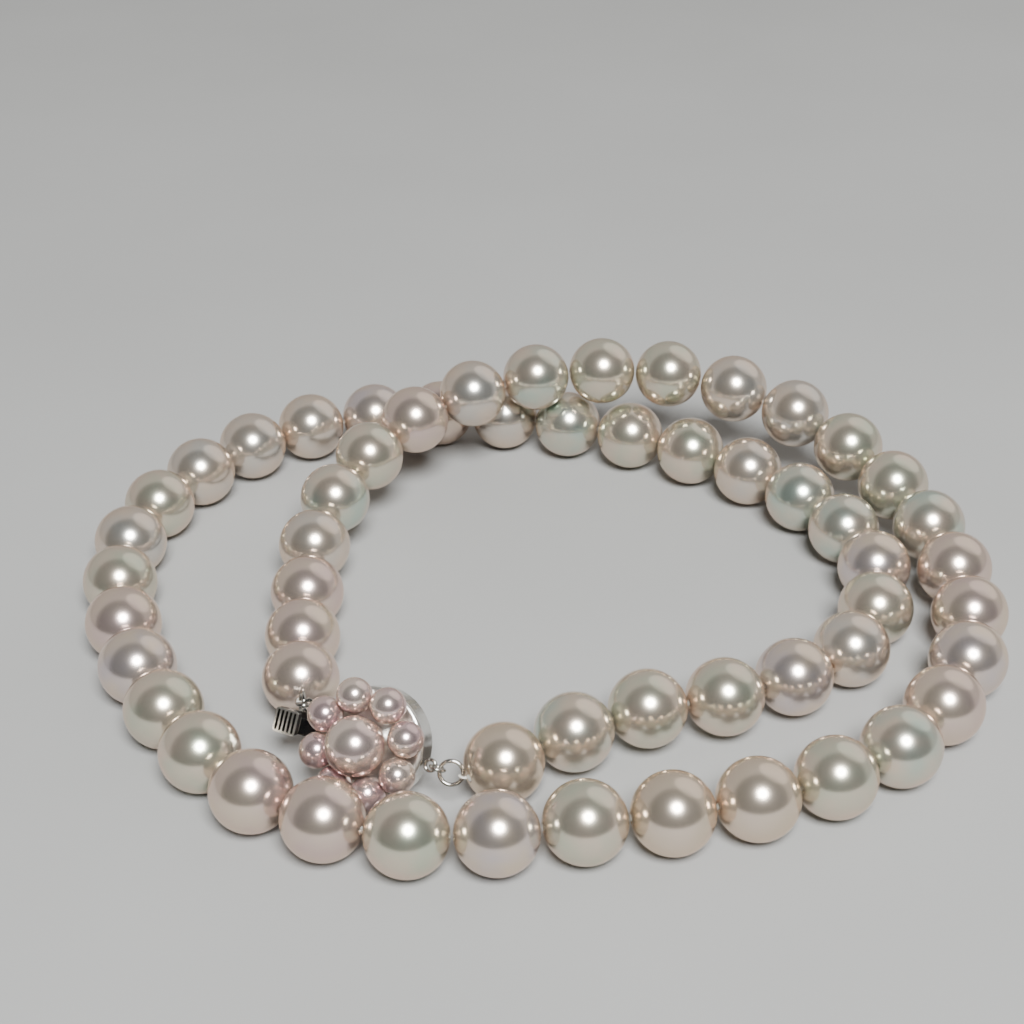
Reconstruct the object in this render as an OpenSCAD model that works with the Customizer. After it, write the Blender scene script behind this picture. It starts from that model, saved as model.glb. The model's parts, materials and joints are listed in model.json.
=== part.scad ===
/* [Strand] */
// Diameter of the strand's largest pearl, at the middle of the strand
mid_pearl_d = 7.8; // [7.5:0.1:8]
// Diameter of the strand's smallest pearls, beside the clasp
end_pearl_d = 7.6; // [7.2:0.1:7.8]
// Slack between two neighbouring pearls, which lets the strand bend
pearl_gap = 0.1; // [0.08:0.01:0.14]
// Diameter of the hole drilled through each strand pearl
drill_d = 0.8; // [0.7:0.05:0.9]
// Diameter of the silk thread
thread_d = 0.66; // [0.5:0.02:0.68]

/* [Clasp flower] */
// Diameter of the pearl in the middle of the flower
centre_pearl_d = 5.6; // [5.4:0.1:5.8]
// Diameter of the petal pearls
petal_pearl_d = 3.4; // [3.2:0.05:3.45]
// Radius of the circle that the petal pearls stand on
petal_circle_r = 4.5; // [4.5:0.05:4.6]
// Height of the middle pearl's centre above the petals' centres
centre_rise = 1.3; // [1.2:0.1:1.5]
// Diameter of the pegs that the petals are glued on
petal_peg_d = 0.6; // [0.5:0.05:0.7]
// Diameter of the peg under the middle pearl
centre_peg_d = 0.8; // [0.7:0.05:1]

/* [Clasp box] */
// Outer diameter of the box
box_d = 10.4; // [10.3:0.1:10.6]
// Height of the band between the back plate and the lid
band_h = 1.65; // [1.6:0.05:1.7]
// Thickness of the band, the back plate and the lid
wall = 0.35; // [0.3:0.01:0.36]
// Width of the slot that the tongue goes into
slot_w = 3.6; // [3.4:0.1:3.8]

/* [Tongue] */
// Width of the tongue's plate and of its spring leaf
tongue_w = 3.2; // [3:0.1:3.3]
// Thickness of the tongue's plate
plate_t = 0.3; // [0.25:0.01:0.3]
// Thickness of the spring leaf
leaf_t = 0.22; // [0.2:0.01:0.24]
// Length and width of the ribbed thumb press
press_size = 2.35; // [2.2:0.05:2.5]
// Number of grooves across the thumb press
grooves = 5; // [4:1:6]

/* [Rings] */
// Centre-line radius of the soldered eyes on the box and the tongue
eye_r = 0.52; // [0.5:0.01:0.54]
// Centre-line radius of the small jump rings
small_ring_r = 0.66; // [0.65:0.01:0.7]
// Centre-line radius of the large jump rings
large_ring_r = 1.1; // [1.08:0.01:1.12]
// Wire diameter of the eyes and the small jump rings
small_wire_d = 0.34; // [0.3:0.01:0.36]
// Wire diameter of the large jump rings
large_wire_d = 0.4; // [0.36:0.01:0.42]

/* [Hidden] */
// The strand lies on the plane z = 0 in two turns. Route points, from the tongue's end to the
// box's end: x, y, and how far the strand is lifted off the plane. The raised stretch is where
// the second turn crosses over the first one.
ROUTE = [
    [-23.4, -15.55, 0.5], [-24, -1, 0.2], [-22.5, 13.5, 2.1], [-14, 27, 4.9], [0, 33.5, 6.9],
    [16, 34, 6.8], [30, 28.5, 4.4], [39.5, 16.5, 1.8], [43.5, 1.5, 0.6], [42, -14, 0.2],
    [33, -27.5, 0], [19, -34.5, 0], [3.5, -37.1, 0], [-12, -38.4, 0], [-26.5, -32, 0],
    [-36.5, -19, 0], [-42.5, -4.5, 0], [-44, 11, 0], [-38, 25.5, 0], [-26, 35.5, 0],
    [-11, 38, 0], [4.5, 34.5, 0], [18.5, 27.5, 0], [29.5, 17, 0], [35.5, 2.5, 0],
    [30.8, -12, 0], [18, -19.5, 0.3], [10, -21.5, 0.5], [3, -24.5, 0.3], [-4.5, -29, 0]
];
ROUTE_STEPS = 24;
PEARLS = 56;
// The last pearl of each group that bends as one; the groups run from the tongue to the box
GROUP_ENDS = [2, 4, 6, 10, 14, 18, 21, 24, 27, 30, 34, 38, 42, 45, 48, 51, 54, 56];
GROUPS = len(GROUP_ENDS);
thread_slack = 0.1;
thread_loop_r = 0.33;
thread_loop_d = 0.2;
thread_loop_gap = 0.08;

// The clasp's own frame: x along the tongue towards the box's eye, z out of the flower's face,
// origin in the middle of the ring of petals.
CLASP_AT = [-16.45, -28.87, 6.7];
CLASP_TURN = -25;
CLASP_LEAN = 58.5;
CLASP_ROLL = -2;
PETALS = 8;
peg_fit = 0.01;
seat_fit = 0.02;
lid_top = -petal_pearl_d / 2 - 0.25;
band_top = lid_top - wall;
back_top = band_top - band_h;
back_low = back_top - wall;
cup_h = 0.55;
petal_cup_r = 0.95;
centre_cup_r = 1.9;
centre_cup_h = 0.95;
tongue_y = -0.5;
plate_low = back_top + 0.1;
plate_top = plate_low + plate_t;
plate_x = [-8.4, 3.2];
plate_neck_w = 2.2;
plate_neck_x = -5.9;
fold_gap = 0.05;
fold_d = 0.66;
slot_low = plate_low - 0.05;
slot_top = band_top - 0.12;
leaf_top = slot_top - 0.06;
leaf_heel_x = -3.9;
stem_w = 1.4;
press_x = -10.15;
press_t = 0.8;
press_corner = 0.3;
groove_depth = 0.3;
groove_w = 0.24;
press_rim = 0.2;
box_eye_at = [box_d / 2 + eye_r + small_wire_d / 2, tongue_y, -3];
tongue_eye_at = [-7.7, tongue_y + plate_neck_w / 2 + eye_r + small_wire_d / 2, plate_low + plate_t / 2];
ring_bite = 0.22;
pearl_colour = [0.93, 0.88, 0.82];
metal_colour = [0.80, 0.80, 0.80];
silk_colour = [0.93, 0.91, 0.86];
$fn = 48;

function two(n) = n < 10 ? str("0", n) : str(n);
function unit(v) = v / norm(v);
function bearing(v) = atan2(v.y, v.x);

// ---- Where the strand runs ----

function pearl_r(i) = (end_pearl_d + (mid_pearl_d - end_pearl_d) * sin(180 * i / (PEARLS - 1))) / 2;
function route_point(k) = ROUTE[max(0, min(len(ROUTE) - 1, k))];
function curve(a, b, c, d, t) =
    b + 0.5 * t * (c - a + t * (2 * a - 5 * b + 4 * c - d + t * (3 * b - a - 3 * c + d)));
PATH = [
    for (k = [0:len(ROUTE) - 2], s = [0:ROUTE_STEPS - 1])
        curve(route_point(k - 1), route_point(k), route_point(k + 1), route_point(k + 2), s / ROUTE_STEPS)
];
// The first step of the path that lies at least d from point p
function step_from(p, k, d) = k >= len(PATH) - 1 || norm(PATH[k] - p) >= d ? k : step_from(p, k + 1, d);
// The point between steps k - 1 and k that lies exactly d from point p
function on_step(p, k, d) =
    let (a = PATH[k - 1] - p, b = PATH[k] - PATH[k - 1], ab = a * b, bb = b * b)
    PATH[k - 1] + b * (-ab + sqrt(max(0, ab * ab - bb * (a * a - d * d)))) / bb;
function string_pearls(i, p, k) =
    i == PEARLS ? [] :
    let (d = pearl_r(i) + pearl_r(i - 1) + pearl_gap, j = step_from(p, k, d), q = on_step(p, j, d))
    concat([q], string_pearls(i + 1, q, j));
SPOTS = concat([PATH[0]], string_pearls(1, PATH[0], 1));
// The frame's origin is the middle of the floor that the pearls cover
function low(axis) = min([for (i = [0:PEARLS - 1]) SPOTS[i][axis] - pearl_r(i)]);
function high(axis) = max([for (i = [0:PEARLS - 1]) SPOTS[i][axis] + pearl_r(i)]);
FLOOR_MIDDLE = [(low(0) + high(0)) / 2, (low(1) + high(1)) / 2, 0];
// Middle of each pearl, and the points in the gaps where the thread runs between them
MIDDLES = [for (i = [0:PEARLS - 1]) SPOTS[i] - FLOOR_MIDDLE + [0, 0, pearl_r(i)]];
function end_point(i, away) = MIDDLES[i] + unit(MIDDLES[i] - MIDDLES[away]) * (pearl_r(i) + pearl_gap / 2);
function gap_point(i) =
    MIDDLES[i] + unit(MIDDLES[i + 1] - MIDDLES[i]) * (pearl_r(i) + pearl_gap / 2);
GAPS = concat([end_point(0, 1)], [for (i = [0:PEARLS - 2]) gap_point(i)], [end_point(PEARLS - 1, PEARLS - 2)]);
function first_pearl(g) = g == 1 ? 0 : GROUP_ENDS[g - 2];
function last_pearl(g) = GROUP_ENDS[g - 1] - 1;

// ---- Where the rings hang ----

function turned(v, a) = [v.x * cos(a) - v.y * sin(a), v.x * sin(a) + v.y * cos(a), v.z];
function leaned(v, a) = [v.x, v.y * cos(a) - v.z * sin(a), v.y * sin(a) + v.z * cos(a)];
function clasp_vector(v) = turned(leaned(turned(v, CLASP_ROLL), CLASP_LEAN), CLASP_TURN);
function clasp_point(p) = CLASP_AT + clasp_vector(p);
CLASP_FACE = clasp_vector([0, 0, 1]);

// One chain of rings, laid out straight from the eye's wire to the end pearl's hole. It holds the
// centre and axis of the small ring, the centre and axis of the large ring, the centre of the
// thread's loop, the point where the two rings touch, and the point where the small ring hooks on.
function ring_chain(eye, hole) =
    let (
        side = (hole - eye) - CLASP_FACE * ((hole - eye) * CLASP_FACE),
        hook = eye + unit(side) * eye_r,
        along = unit(hole - hook),
        loop_at = hole - along * (thread_loop_gap + thread_loop_r + thread_loop_d / 2),
        large_at = loop_at - along * large_ring_r,
        touch = large_at - along * large_ring_r,
        small_at = touch - along * ring_bite,
        small_axis = unit(cross(side, CLASP_FACE)),
        large_axis = unit(cross(along, small_axis))
    )
    [small_at, small_axis, large_at, large_axis, loop_at, touch, hook];
LEFT = ring_chain(clasp_point(tongue_eye_at), GAPS[0]);
RIGHT = ring_chain(clasp_point(box_eye_at), GAPS[PEARLS]);

// ---- Shapes that repeat ----

module aim(at, along) {
    translate(at)
        rotate([0, acos(along.z / norm(along)), bearing(along)])
            children();
}
module rod(a, b, d, spare = 0) {
    aim(a, b - a)
        translate([0, 0, -spare])
            cylinder(d = d, h = norm(b - a) + 2 * spare);
}
module ring(at, axis, r, wire) {
    aim(at, axis)
        rotate_extrude($fn = 64)
            translate([r, 0])
                circle(d = wire);
}
module in_clasp() {
    translate(CLASP_AT)
        rotate([0, 0, CLASP_TURN])
            rotate([CLASP_LEAN, 0, 0])
                rotate([0, 0, CLASP_ROLL])
                    children();
}
module round_petals() {
    for (k = [0:PETALS - 1])
        rotate([0, 0, 360 * (k + 0.5) / PETALS])
            translate([petal_circle_r, 0])
                children();
}
module block(x, y, z) {
    translate([x[0], y[0], z[0]])
        cube([x[1] - x[0], y[1] - y[0], z[1] - z[0]]);
}

// ---- The strand ----

module pearls(g) {
    color(pearl_colour)
        for (i = [first_pearl(g):last_pearl(g)])
            difference() {
                translate(MIDDLES[i])
                    rotate([0, 0, bearing(GAPS[i + 1] - GAPS[i]) + 90])
                        sphere(pearl_r(i), $fn = 64);
                rod(GAPS[i], GAPS[i + 1], drill_d, 1);
            }
}
module thread(g) {
    color(silk_colour)
        for (i = [first_pearl(g):last_pearl(g)]) {
            along = unit(GAPS[i + 1] - GAPS[i]);
            rod(GAPS[i] + along * thread_slack, GAPS[i + 1] - along * thread_slack, thread_d);
        }
}
module thread_loop(chain) {
    color(silk_colour)
        ring(chain[4], chain[1], thread_loop_r, thread_loop_d);
}

// ---- The clasp's flower ----

module petal_pearls() {
    color(pearl_colour)
        in_clasp()
            round_petals()
                difference() {
                    sphere(d = petal_pearl_d);
                    translate([0, 0, -petal_pearl_d])
                        cylinder(d = petal_peg_d + 2 * peg_fit, h = petal_pearl_d + 0.1);
                }
}
module petal_pegs() {
    color(metal_colour)
        in_clasp()
            round_petals()
                translate([0, 0, lid_top])
                    cylinder(d = petal_peg_d, h = -lid_top);
}
module petal_cups() {
    color(metal_colour)
        in_clasp()
            round_petals()
                difference() {
                    translate([0, 0, lid_top])
                        cylinder(r = petal_cup_r, h = cup_h);
                    sphere(d = petal_pearl_d + 2 * seat_fit);
                    translate([0, 0, lid_top - 1])
                        cylinder(d = petal_peg_d + 2 * peg_fit, h = 3);
                }
}
module centre_pearl() {
    color(pearl_colour)
        in_clasp()
            translate([0, 0, centre_rise])
                difference() {
                    sphere(d = centre_pearl_d);
                    translate([0, 0, -centre_pearl_d])
                        cylinder(d = centre_peg_d + 2 * peg_fit, h = centre_pearl_d + 0.1);
                }
}
module centre_peg() {
    color(metal_colour)
        in_clasp()
            translate([0, 0, lid_top])
                cylinder(d = centre_peg_d, h = centre_rise - lid_top);
}
module centre_cup() {
    color(metal_colour)
        in_clasp()
            difference() {
                translate([0, 0, lid_top])
                    cylinder(r = centre_cup_r, h = centre_cup_h);
                translate([0, 0, centre_rise])
                    sphere(d = centre_pearl_d + 2 * seat_fit);
                translate([0, 0, lid_top - 1])
                    cylinder(d = centre_peg_d + 2 * peg_fit, h = 3);
            }
}

// ---- The clasp's box ----

module clasp_lid() {
    color(metal_colour)
        in_clasp()
            translate([0, 0, band_top])
                rotate_extrude($fn = 96)
                    union() {
                        square([box_d / 2 - wall, wall]);
                        intersection() {
                            translate([box_d / 2 - wall, 0])
                                circle(r = wall);
                            square([box_d, wall]);
                        }
                    }
}
module clasp_band() {
    color(metal_colour)
        in_clasp()
            difference() {
                translate([0, 0, back_top])
                    cylinder(d = box_d, h = band_h, $fn = 96);
                translate([0, 0, back_top - 1])
                    cylinder(d = box_d - 2 * wall, h = band_h + 2, $fn = 96);
                block([-box_d, 0], [tongue_y - slot_w / 2, tongue_y + slot_w / 2], [slot_low, slot_top]);
            }
}
module clasp_back() {
    color(metal_colour)
        in_clasp()
            translate([0, 0, back_low])
                cylinder(d = box_d, h = wall, $fn = 96);
}
module box_eye() {
    color(metal_colour)
        in_clasp()
            ring(box_eye_at, [0, 0, 1], eye_r, small_wire_d);
}

// ---- The tongue ----

module tongue_plate() {
    color(metal_colour)
        in_clasp() {
            block([plate_neck_x, plate_x[1]], [tongue_y - tongue_w / 2, tongue_y + tongue_w / 2],
                  [plate_low, plate_top]);
            block([plate_x[0], plate_neck_x], [tongue_y - plate_neck_w / 2, tongue_y + plate_neck_w / 2],
                  [plate_low, plate_top]);
        }
}
module tongue_eye() {
    color(metal_colour)
        in_clasp()
            ring(tongue_eye_at, [0, 0, 1], eye_r, small_wire_d);
}
// The leaf is bent back over the plate from a round fold, and its stem runs out of the slot
module spring_leaf() {
    fold_at = [plate_x[1] + fold_gap, plate_low + fold_d / 2];
    heel = [leaf_heel_x, leaf_top];
    toe = [fold_at.x, plate_low + fold_d];
    color(metal_colour)
        in_clasp() {
            translate([0, tongue_y + tongue_w / 2, 0])
                rotate([90, 0, 0])
                    linear_extrude(tongue_w)
                        union() {
                            polygon([heel, heel - [0, leaf_t], toe - [0, leaf_t], toe]);
                            translate(fold_at)
                                difference() {
                                    circle(d = fold_d);
                                    circle(d = fold_d - 2 * leaf_t);
                                    translate([-fold_d, -fold_d])
                                        square([fold_d, 2 * fold_d]);
                                }
                        }
            block([press_x + press_size - 0.01, leaf_heel_x + 0.01],
                  [tongue_y - stem_w / 2, tongue_y + stem_w / 2],
                  [leaf_top - leaf_t, leaf_top]);
        }
}
module round_plate(size, corner, t) {
    linear_extrude(t)
        union() {
            translate([corner, 0])
                square([size - 2 * corner, size]);
            translate([0, corner])
                square([size, size - 2 * corner]);
            for (x = [corner, size - corner], y = [corner, size - corner])
                translate([x, y])
                    circle(corner);
        }
}
module thumb_press() {
    pitch = (press_size - 2 * press_rim - groove_w) / (grooves - 1);
    color(metal_colour)
        in_clasp()
            translate([press_x, tongue_y - press_size / 2, leaf_top - press_t / 2])
                difference() {
                    round_plate(press_size, press_corner, press_t);
                    for (k = [0:grooves - 1])
                        translate([press_rim + k * pitch, press_rim, press_t - groove_depth])
                            cube([groove_w, press_size - 2 * press_rim, press_t]);
                }
}

// ---- The jump rings ----

module small_ring(chain) {
    color(metal_colour)
        ring(chain[0], chain[1], small_ring_r, small_wire_d);
}
module large_ring(chain) {
    color(metal_colour)
        ring(chain[2], chain[3], large_ring_r, large_wire_d);
}

for (g = [1:GROUPS])
    pearls(g);
for (g = [1:GROUPS])
    thread(g);
thread_loop(LEFT);  // thread_loop_left
thread_loop(RIGHT);  // thread_loop_right
clasp_band();
clasp_back();
clasp_lid();
petal_cups();
centre_cup();
petal_pegs();
centre_peg();
petal_pearls();
centre_pearl();
box_eye();
tongue_plate();
tongue_eye();
spring_leaf();
thumb_press();
small_ring(LEFT);  // small_ring_left
large_ring(LEFT);  // large_ring_left
small_ring(RIGHT);  // small_ring_right
large_ring(RIGHT);  // large_ring_right
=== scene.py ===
import json
import math
import random

import bpy
from mathutils import Matrix, Vector


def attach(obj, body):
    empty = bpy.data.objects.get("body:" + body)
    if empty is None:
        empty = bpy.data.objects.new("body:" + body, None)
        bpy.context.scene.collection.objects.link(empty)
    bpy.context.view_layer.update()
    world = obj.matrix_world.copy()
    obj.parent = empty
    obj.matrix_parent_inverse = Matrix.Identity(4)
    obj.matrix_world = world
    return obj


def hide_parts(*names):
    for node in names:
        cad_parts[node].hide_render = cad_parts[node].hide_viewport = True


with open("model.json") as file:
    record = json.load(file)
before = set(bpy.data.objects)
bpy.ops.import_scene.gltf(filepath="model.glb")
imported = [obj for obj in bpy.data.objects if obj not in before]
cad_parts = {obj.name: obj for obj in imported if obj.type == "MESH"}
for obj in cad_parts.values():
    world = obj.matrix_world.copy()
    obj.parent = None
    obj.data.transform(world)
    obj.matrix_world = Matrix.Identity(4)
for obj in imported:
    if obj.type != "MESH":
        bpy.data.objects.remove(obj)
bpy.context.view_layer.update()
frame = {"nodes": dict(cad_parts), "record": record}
MM = 0.001
nodes = frame["nodes"]
body_names = {n: b for b, ns in frame["record"]["behaviour"]["bodies"].items() for n in ns}


# ---- Camera ----

CAMERA_AT = Vector((-2.25, -169.33, 118.49)) * MM
CAMERA_PITCH = math.radians(31.85)
CAMERA_ROLL = math.radians(-1.284)
LENS_MM, SENSOR_MM = 69.0, 36.0


def make_camera():
    pitch, roll = CAMERA_PITCH, CAMERA_ROLL
    forward = Vector((0, math.cos(pitch), -math.sin(pitch)))
    level_up = Vector((0, math.sin(pitch), math.cos(pitch)))
    level_right = Vector((1, 0, 0))
    right = math.cos(roll) * level_right + math.sin(roll) * level_up
    up = -math.sin(roll) * level_right + math.cos(roll) * level_up
    data = bpy.data.cameras.new("camera")
    data.lens, data.sensor_width = LENS_MM, SENSOR_MM
    data.clip_start, data.clip_end = 0.005, 20.0
    cam = bpy.data.objects.new("camera", data)
    bpy.context.scene.collection.objects.link(cam)
    turn = Matrix((right, up, -forward)).transposed().to_4x4()
    cam.matrix_world = Matrix.Translation(CAMERA_AT) @ turn
    bpy.context.scene.camera = cam


make_camera()


# ---- Material helpers ----

class Nodes:
    """A new material and short calls for its nodes."""

    def __init__(self, name):
        self.material = bpy.data.materials.new(name)
        self.material.use_nodes = True
        self.tree = self.material.node_tree
        self.shader = self.tree.nodes["Principled BSDF"]

    def add(self, kind, **values):
        node = self.tree.nodes.new(kind)
        for key, value in values.items():
            setattr(node, key, value)
        return node

    def link(self, a, b):
        self.tree.links.new(a, b)

    def set(self, **values):
        for key, value in values.items():
            self.shader.inputs[key.replace("_", " ")].default_value = value

    def noise(self, scale, detail=3.0, roughness=0.5):
        """The value of a noise that lies in the piece's own coordinates."""
        where = self.add("ShaderNodeTexCoord")
        tex = self.add("ShaderNodeTexNoise")
        self.link(where.outputs["Object"], tex.inputs["Vector"])
        tex.inputs["Scale"].default_value = scale
        tex.inputs["Detail"].default_value = detail
        tex.inputs["Roughness"].default_value = roughness
        return tex.outputs["Fac"]

    def ramp(self, source, stops):
        ramp = self.add("ShaderNodeValToRGB")
        self.link(source, ramp.inputs["Fac"])
        elements = ramp.color_ramp.elements
        while len(elements) > len(stops):
            elements.remove(elements[-1])
        while len(elements) < len(stops):
            elements.new(1.0)
        for element, (at, colour) in zip(elements, stops):
            element.position = at
            element.color = (*colour, 1.0)
        return ramp.outputs["Color"]

    def bump(self, height, strength, distance):
        bump = self.add("ShaderNodeBump")
        bump.inputs["Strength"].default_value = strength
        bump.inputs["Distance"].default_value = distance
        self.link(height, bump.inputs["Height"])
        return bump.outputs["Normal"]


def shade(colour, factor):
    return tuple(min(1.0, c * factor) for c in colour)


def nacre(name, body, overtone, film):
    """High-lustre nacre: cream body, a cloudy overtone, thin-film orient and a clear coat."""
    n = Nodes(name)
    tone = n.ramp(n.noise(260.0, 2.0), [(0.35, body), (0.7, overtone)])
    n.link(tone, n.shader.inputs["Base Color"])
    n.set(
        Metallic=0.84, Roughness=0.21, IOR=1.7, Specular_Tint=(1.0, 0.86, 0.78, 1.0),
        Coat_Weight=0.3, Coat_Roughness=0.1, Coat_IOR=1.5,
        Sheen_Weight=0.06, Sheen_Roughness=0.3, Sheen_Tint=(1.0, 0.86, 0.74, 1.0),
        Thin_Film_Thickness=film, Thin_Film_IOR=1.33,
    )
    n.link(n.bump(n.noise(900.0, 4.0, 0.55), 0.03, 0.03 * MM), n.shader.inputs["Normal"])
    return n.material


def silver(name, colour, roughness, scratch, scale=(1.0, 1.0, 1.0)):
    """Silver with fine polishing lines, drawn out by scale, and a little tarnish in patches."""
    n = Nodes(name)
    patch = n.noise(700.0, 4.0)
    tone = n.ramp(patch, [(0.3, shade(colour, 0.86)), (0.65, colour)])
    n.link(tone, n.shader.inputs["Base Color"])
    gloss = n.add("ShaderNodeMapRange")
    n.link(patch, gloss.inputs["Value"])
    gloss.inputs["To Min"].default_value = roughness * 0.7
    gloss.inputs["To Max"].default_value = roughness * 1.5
    n.link(gloss.outputs["Result"], n.shader.inputs["Roughness"])
    n.set(Metallic=1.0)
    where = n.add("ShaderNodeTexCoord")
    stretch = n.add("ShaderNodeMapping")
    stretch.inputs["Scale"].default_value = scale
    lines = n.add("ShaderNodeTexNoise")
    lines.inputs["Scale"].default_value = 6000.0
    lines.inputs["Detail"].default_value = 2.0
    n.link(where.outputs["Object"], stretch.inputs["Vector"])
    n.link(stretch.outputs["Vector"], lines.inputs["Vector"])
    n.link(n.bump(lines.outputs["Fac"], scratch, 0.02 * MM), n.shader.inputs["Normal"])
    return n.material


# Painted shade for the grooves between the ribs, and the plain silver of the rib tops
PAINTED_GROOVE_SHADE, RIB_TOP_SILVER = (0.07, 0.065, 0.06), (0.86, 0.84, 0.80)


def groove_shaded_silver(name, node, face):
    """Silver with painted shade in its grooves: the tone darkens with the depth below the node's top along
    face.
    """
    n = Nodes(name)
    top = max(v.co.dot(face) for v in nodes[node].data.vertices)
    where = n.add("ShaderNodeTexCoord")
    depth = n.add("ShaderNodeVectorMath", operation="DOT_PRODUCT")
    depth.inputs[1].default_value = face
    n.link(where.outputs["Object"], depth.inputs[0])
    fade = n.add("ShaderNodeMapRange")
    n.link(depth.outputs["Value"], fade.inputs["Value"])
    fade.inputs["From Min"].default_value = top - 0.14 * MM
    fade.inputs["From Max"].default_value = top - 0.03 * MM
    # Painted groove shade: the colour goes dark below the rib tops
    tone = n.ramp(fade.outputs["Result"], [(0.0, PAINTED_GROOVE_SHADE), (1.0, RIB_TOP_SILVER)])
    n.link(tone, n.shader.inputs["Base Color"])
    n.set(Metallic=1.0, Roughness=0.3)
    n.link(n.bump(n.noise(5000.0), 0.15, 0.02 * MM), n.shader.inputs["Normal"])
    return n.material


def silk(name):
    """Off-white silk, soft at its edges, with fine fibres."""
    n = Nodes(name)
    tone = n.ramp(n.noise(1500.0), [(0.3, (0.72, 0.68, 0.60)), (0.7, (0.90, 0.87, 0.80))])
    n.link(tone, n.shader.inputs["Base Color"])
    n.set(Roughness=0.55, Sheen_Weight=0.4, Sheen_Roughness=0.4)
    n.link(n.bump(n.noise(9000.0, 2.0), 0.5, 0.03 * MM), n.shader.inputs["Normal"])
    return n.material


CREAM = (0.735, 0.61, 0.495)
# Each letter's name, overtone and film thickness in nanometres
OVERTONES = {
    "g": ("green", (0.58, 0.60, 0.47), 420.0),
    "t": ("teal", (0.52, 0.60, 0.52), 455.0),
    "r": ("rose", (0.68, 0.53, 0.49), 300.0),
    "s": ("silver", (0.62, 0.59, 0.54), 360.0),
    "c": ("cream", (0.68, 0.57, 0.44), 335.0),
    "l": ("lavender", (0.62, 0.55, 0.56), 270.0),
}
NACRES = {key: nacre(f"nacre_{name}", CREAM, tone, film) for key, (name, tone, film) in OVERTONES.items()}
PETAL_NACRE = nacre("nacre_petal", (0.80, 0.67, 0.59), (0.66, 0.47, 0.49), 290.0)
POLISHED = silver("silver_polished", (0.82, 0.80, 0.77), 0.12, 0.06)
SATIN = silver("silver_satin", (0.84, 0.81, 0.77), 0.30, 0.25, (1.0, 0.12, 1.0))
WIRE = silver("silver_wire", (0.50, 0.48, 0.45), 0.16, 0.06)
SILK = silk("silk_twist")
# One letter per pearl, from the tongue's end to the box's end
PEARL_TONES = "rrrstgrstggssggtrrlrtgccglgrrgglrgsgssslrstggsttlgslggtc"


# ---- Mesh helpers ----

def new_piece(name, mesh, material, body, stands_for):
    for polygon in mesh.polygons:
        polygon.use_smooth = True
    piece = bpy.data.objects.new(name, mesh)
    bpy.context.scene.collection.objects.link(piece)
    mesh.materials.append(material)
    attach(piece, body)
    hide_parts(*stands_for)


def loose_parts(mesh):
    """Vertex positions of each separate solid of a mesh."""
    parent = list(range(len(mesh.vertices)))

    def root(k):
        while parent[k] != k:
            parent[k] = parent[parent[k]]
            k = parent[k]
        return k

    seen = {}
    for k, vertex in enumerate(mesh.vertices):
        key = tuple(round(c * 1e7) for c in vertex.co)
        if key in seen:
            parent[root(k)] = root(seen[key])
        else:
            seen[key] = k
    for edge in mesh.edges:
        parent[root(edge.vertices[0])] = root(edge.vertices[1])
    groups = {}
    for k, vertex in enumerate(mesh.vertices):
        groups.setdefault(root(k), []).append(vertex.co.copy())
    return list(groups.values())


def ball_of(points):
    """Centre and radius of a ball from the box round its points."""
    low = Vector([min(p[a] for p in points) for a in range(3)])
    high = Vector([max(p[a] for p in points) for a in range(3)])
    return (low + high) / 2, max(high - low) / 2


def revolve(profile, around):
    """A closed skin from (radius, height) points turned round Z, listed from the top down the outside.

    A profile that starts and ends on the axis closes there, and any other closes on itself."""
    rings, verts, faces = [], [], []
    for r, z in profile:
        count = around if r > 0 else 1
        rings.append(range(len(verts), len(verts) + count))
        for k in range(count):
            angle = 2 * math.pi * k / around
            verts.append((r * math.cos(angle), r * math.sin(angle), z))
    pairs = list(zip(rings, rings[1:]))
    if profile[0][0] > 0:
        pairs.append((rings[-1], rings[0]))
    for upper, lower in pairs:
        for k in range(around):
            k_next = (k + 1) % around
            corners = [
                upper[k % len(upper)], lower[k % len(lower)],
                lower[k_next % len(lower)], upper[k_next % len(upper)],
            ]
            faces.append(tuple(dict.fromkeys(corners)))
    return verts, faces


LIP = 0.05 * MM
# The waves round a pearl are shares of its radius. They are lowered and scaled to stay close to a true ball
SWELL_DROP = 0.006
SWELL_SCALE = 0.5


def drilled_pearl(radius, hole, seed, around=56, rows=36, blind=False):
    """A pearl round Z with a drill hole whose mouth is a little worn. It is slightly out of round, as grown.

    The hole runs right through, or with blind from the bottom to the middle."""
    mouth = math.asin((hole + LIP) / radius)
    first = 0.0 if blind else mouth
    last = math.pi - mouth
    profile = [
        (radius * math.sin(a), radius * math.cos(a))
        for a in (first + (last - first) * k / rows for k in range(rows + 1))
    ]
    face = radius * math.cos(mouth) - LIP * 0.6
    profile.append((hole, -face))
    profile += [(hole, 0.0), (0.0, 0.0)] if blind else [(hole, face)]
    verts, faces = revolve(profile, around)
    rng = random.Random(seed)
    waves = [
        (Vector([rng.uniform(-1, 1) for _ in range(3)]).normalized(), rng.uniform(0.0018, 0.003),
         rng.uniform(1.5, 3.5), rng.uniform(0, 6.3))
        for _ in range(4)
    ]
    shaped = []
    for v in verts:
        p = Vector(v)
        outside = p.length > radius * 0.9
        swell = sum(h * math.sin(f * p.normalized().dot(d) + t) for d, h, f, t in waves) if outside else 0.0
        shaped.append(tuple(p * (1.0 + SWELL_SCALE * (swell - SWELL_DROP))))
    mesh = bpy.data.meshes.new("pearl")
    mesh.from_pydata(shaped, [], faces)
    mesh.update()
    return mesh


def place(mesh, at, along):
    turn = Vector(along).to_track_quat("Z", "Y").to_matrix().to_4x4()
    mesh.transform(Matrix.Translation(at) @ turn)
    mesh.update()
    return mesh


# ---- The strand ----

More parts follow.
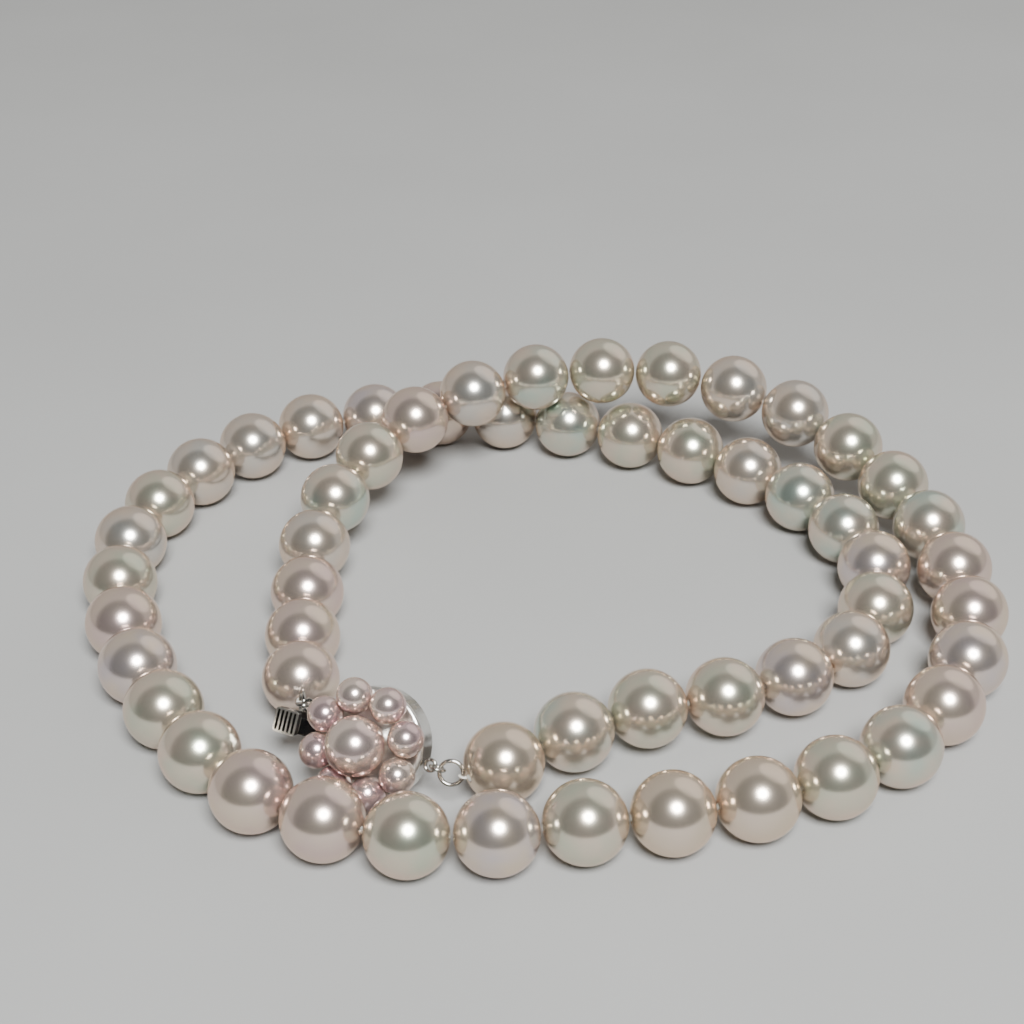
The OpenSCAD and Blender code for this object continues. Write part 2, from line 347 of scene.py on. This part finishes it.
def strand_balls():
    """Centre, radius and node of each strand pearl, in order from the tongue."""
    ordered = []
    here = ball_of([v.co for v in nodes["thread_loop_left"].data.vertices])[0]
    for name in sorted(n for n in nodes if n.startswith("pearls_")):
        left = [ball_of(part) for part in loose_parts(nodes[name].data)]
        while left:
            nearest = min(left, key=lambda ball: (ball[0] - here).length)
            left.remove(nearest)
            here = nearest[0]
            ordered.append((*nearest, name))
    return ordered


BALLS = strand_balls()
DRILL_RADIUS = 0.4 * MM
PETAL_HOLE_RADIUS = 0.31 * MM
MIDDLE_HOLE_RADIUS = 0.41 * MM
GAP_SLACK = 0.05 * MM


def gap_points():
    """The points in the gaps before, between and after the strand pearls."""
    middles = [ball[0] for ball in BALLS]
    radii = [ball[1] for ball in BALLS]
    points = [middles[0] + (middles[0] - middles[1]).normalized() * (radii[0] + GAP_SLACK)]
    for a, b, r in zip(middles, middles[1:], radii):
        points.append(a + (b - a).normalized() * (r + GAP_SLACK))
    points.append(middles[-1] + (middles[-1] - middles[-2]).normalized() * (radii[-1] + GAP_SLACK))
    return points


GAPS = gap_points()


def make_strand():
    for k, (middle, radius, node) in enumerate(BALLS):
        along = GAPS[k + 1] - GAPS[k]
        mesh = place(drilled_pearl(radius, DRILL_RADIUS, 100 + k), middle, along)
        new_piece(f"pearl_{k + 1:02d}", mesh, NACRES[PEARL_TONES[k]], body_names[node], [node])


make_strand()


# ---- The clasp's flower ----

def clasp_axis():
    """The way the clasp's flower faces."""
    back, lid = (ball_of([v.co for v in nodes[n].data.vertices])[0] for n in ("clasp_back", "clasp_lid"))
    return (lid - back).normalized()


FACE = clasp_axis()


def make_flower():
    petals = [ball_of(part) for part in loose_parts(nodes["petal_pearls"].data)]
    for k, (middle, radius) in enumerate(sorted(petals, key=lambda b: (b[0].x, b[0].z))):
        mesh = place(drilled_pearl(radius, PETAL_HOLE_RADIUS, 300 + k, 48, 30, True), middle, FACE)
        new_piece(f"petal_{k + 1}", mesh, PETAL_NACRE, "clasp_box", ["petal_pearls"])
    middle, radius = ball_of([v.co for v in nodes["centre_pearl"].data.vertices])
    mesh = place(drilled_pearl(radius, MIDDLE_HOLE_RADIUS, 320, 64, 44, True), middle, FACE)
    new_piece("flower_middle", mesh, PETAL_NACRE, "clasp_box", ["centre_pearl"])


make_flower()


# ---- CAD nodes that stay ----

# The thumb press gets ribbed silver with painted shade down its grooves
CLASP_FINISH = {"clasp_lid": SATIN, "thumb_press": groove_shaded_silver("silver_ribbed", "thumb_press", FACE)}
CLASP_FINISH.update({n: WIRE for n in nodes if "_ring_" in n or "eye" in n})


def dress(name, material):
    node = nodes[name]
    node.data.materials.clear()
    node.data.materials.append(material)


for node_name in nodes:
    if node_name.startswith("thread"):
        dress(node_name, SILK)
    elif not node_name.startswith("pearls_") and node_name not in ("petal_pearls", "centre_pearl"):
        dress(node_name, CLASP_FINISH.get(node_name, POLISHED))


# ---- Floor and light ----

FLOOR_REACH = 12.0


def make_floor():
    mesh = bpy.data.meshes.new("floor")
    corners = [(x * FLOOR_REACH, y * FLOOR_REACH, 0) for x, y in ((-1, -1), (1, -1), (1, 1), (-1, 1))]
    mesh.from_pydata(corners, [], [(0, 1, 2, 3)])
    floor = bpy.data.objects.new("floor", mesh)
    bpy.context.scene.collection.objects.link(floor)
    n = Nodes("floor_cloth")
    tone = n.ramp(n.noise(18.0, 5.0), [(0.2, (0.375, 0.365, 0.355)), (0.8, (0.415, 0.405, 0.395))])
    n.link(tone, n.shader.inputs["Base Color"])
    n.set(Roughness=0.85)
    mesh.materials.append(n.material)


make_floor()


def area_light(name, at, size, power, colour):
    """A round light that faces the middle of the necklace."""
    data = bpy.data.lights.new(name, "AREA")
    data.shape, data.size, data.energy, data.color = "DISK", size, power, colour
    light = bpy.data.objects.new(name, data)
    bpy.context.scene.collection.objects.link(light)
    light.location = at
    light.rotation_mode = "QUATERNION"
    light.rotation_quaternion = (-at).to_track_quat("-Z", "Y")


def from_angle(azimuth, elevation, distance):
    """A point seen from the middle: azimuth 0 is the camera's side, and it grows to the right, in degrees."""
    a, e = math.radians(azimuth), math.radians(elevation)
    return Vector((math.sin(a) * math.cos(e), -math.cos(a) * math.cos(e), math.sin(e))) * distance


area_light("key", from_angle(10, 52, 0.8), 0.34, 14.0, (0.95, 0.99, 1.0))
area_light("window", from_angle(131, 42, 1.0), 1.1, 1.6, (1.0, 0.96, 0.91))


def make_world():
    """Pale all round, darker on the camera's side, where the room behind the camera is."""
    world = bpy.data.worlds.new("studio")
    bpy.context.scene.world = world
    world.use_nodes = True
    tree = world.node_tree
    background = tree.nodes["Background"]
    where = tree.nodes.new("ShaderNodeTexCoord")
    dot = tree.nodes.new("ShaderNodeVectorMath")
    dot.operation = "DOT_PRODUCT"
    dot.inputs[1].default_value = from_angle(0, 30, 1.0)
    tree.links.new(where.outputs["Generated"], dot.inputs[0])
    ramp = tree.nodes.new("ShaderNodeValToRGB")
    tree.links.new(dot.outputs["Value"], ramp.inputs["Fac"])
    elements = ramp.color_ramp.elements
    elements[0].position, elements[0].color = 0.10, (0.50, 0.49, 0.47, 1)
    elements[1].position, elements[1].color = 0.50, (0.006, 0.006, 0.007, 1)
    between = elements.new(0.30)
    between.color = (0.075, 0.072, 0.068, 1)
    tree.links.new(ramp.outputs["Color"], background.inputs["Color"])
    background.inputs["Strength"].default_value = 0.9


make_world()
